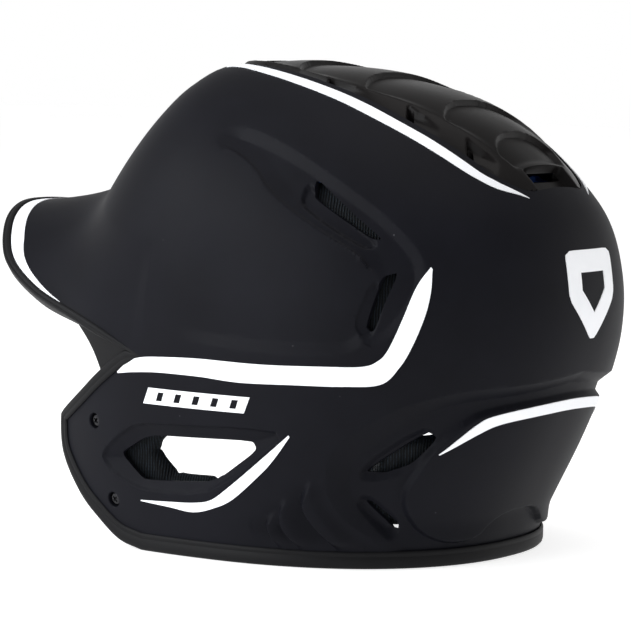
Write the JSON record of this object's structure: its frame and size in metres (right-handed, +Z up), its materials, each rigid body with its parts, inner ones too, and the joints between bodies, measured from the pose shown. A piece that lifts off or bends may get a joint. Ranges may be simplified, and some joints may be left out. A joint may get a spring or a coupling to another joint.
{
  "type": "batting helmet",
  "caption": "Baseball batting helmet with a short bill, two ear flaps, vented crown panel, white stripes, rubber edge moulding and padded liner.",
  "frame": {"origin": "centre of the bounding box at its bottom face, where the rim moulding rests", "axes": "+X to the wearer's left, +Y to the back of the head, +Z up; the bill points along -Y"},
  "size_m": [0.2184, 0.295, 0.2128],
  "materials": {
    "shell_black": "soft-touch matte black",
    "panel_black": "satin warm black",
    "moulding_black": "matte rubber",
    "stripe_white": "satin white print film",
    "foam_blue": "fine closed-cell foam",
    "mesh_fabric": "ribbed knitted mesh over foam",
    "screw_black": "black oxide",
    "nut_zinc": "zinc plated"
  },
  "bodies": {
    "helmet": {"outer_shell": "shell_black", "bill": "shell_black", "ear_flap_left": "shell_black", "ear_flap_right": "shell_black", "crown_vent_panel": "panel_black", "edge_moulding": "moulding_black", "crown_stripe_left": "stripe_white", "crown_stripe_right": "stripe_white", "side_stripe_left": "stripe_white", "side_stripe_right": "stripe_white", "ear_stripe_left": "stripe_white", "ear_stripe_right": "stripe_white", "rear_stripe": "stripe_white", "bill_stripe": "stripe_white", "rear_mark": "stripe_white", "flap_mark_left": "stripe_white", "flap_mark_right": "stripe_white", "front_foam_liner": "foam_blue", "side_foam_liner_left": "foam_blue", "side_foam_liner_right": "foam_blue", "rear_foam_liner": "foam_blue", "crown_foam_liner": "foam_blue", "brow_pad": "mesh_fabric", "temple_pad_left": "mesh_fabric", "temple_pad_right": "mesh_fabric", "side_pad_left": "mesh_fabric", "side_pad_right": "mesh_fabric", "rear_pad": "mesh_fabric", "nape_pad": "mesh_fabric", "crown_pad": "mesh_fabric", "ear_pad_left": "mesh_fabric", "ear_pad_right": "mesh_fabric", "jaw_guard_nut_upper_left": "nut_zinc", "jaw_guard_nut_upper_right": "nut_zinc", "jaw_guard_nut_lower_left": "nut_zinc", "jaw_guard_nut_lower_right": "nut_zinc"},
    "jaw_guard_screw_upper_left": {"jaw_guard_screw_upper_left": "screw_black"},
    "jaw_guard_screw_upper_right": {"jaw_guard_screw_upper_right": "screw_black"},
    "jaw_guard_screw_lower_left": {"jaw_guard_screw_lower_left": "screw_black"},
    "jaw_guard_screw_lower_right": {"jaw_guard_screw_lower_right": "screw_black"}
  },
  "joints": [
    {"name": "upper_left_screw_turn", "type": "hinge", "parent": "helmet", "child": "jaw_guard_screw_upper_left", "pos_m": [0.09614, -0.04565, 0.0548], "axis": [0.947, -0.3144, -0.0667], "continuous": true},
    {"name": "upper_right_screw_turn", "type": "hinge", "parent": "helmet", "child": "jaw_guard_screw_upper_right", "pos_m": [-0.09614, -0.04565, 0.0548], "axis": [-0.947, -0.3144, -0.0667], "continuous": true},
    {"name": "lower_left_screw_turn", "type": "hinge", "parent": "helmet", "child": "jaw_guard_screw_lower_left", "pos_m": [0.09377, -0.03615, 0.0208], "axis": [0.9537, -0.2152, -0.21], "continuous": true},
    {"name": "lower_right_screw_turn", "type": "hinge", "parent": "helmet", "child": "jaw_guard_screw_lower_right", "pos_m": [-0.09377, -0.03615, 0.0208], "axis": [-0.9537, -0.2152, -0.21], "continuous": true}
  ]
}
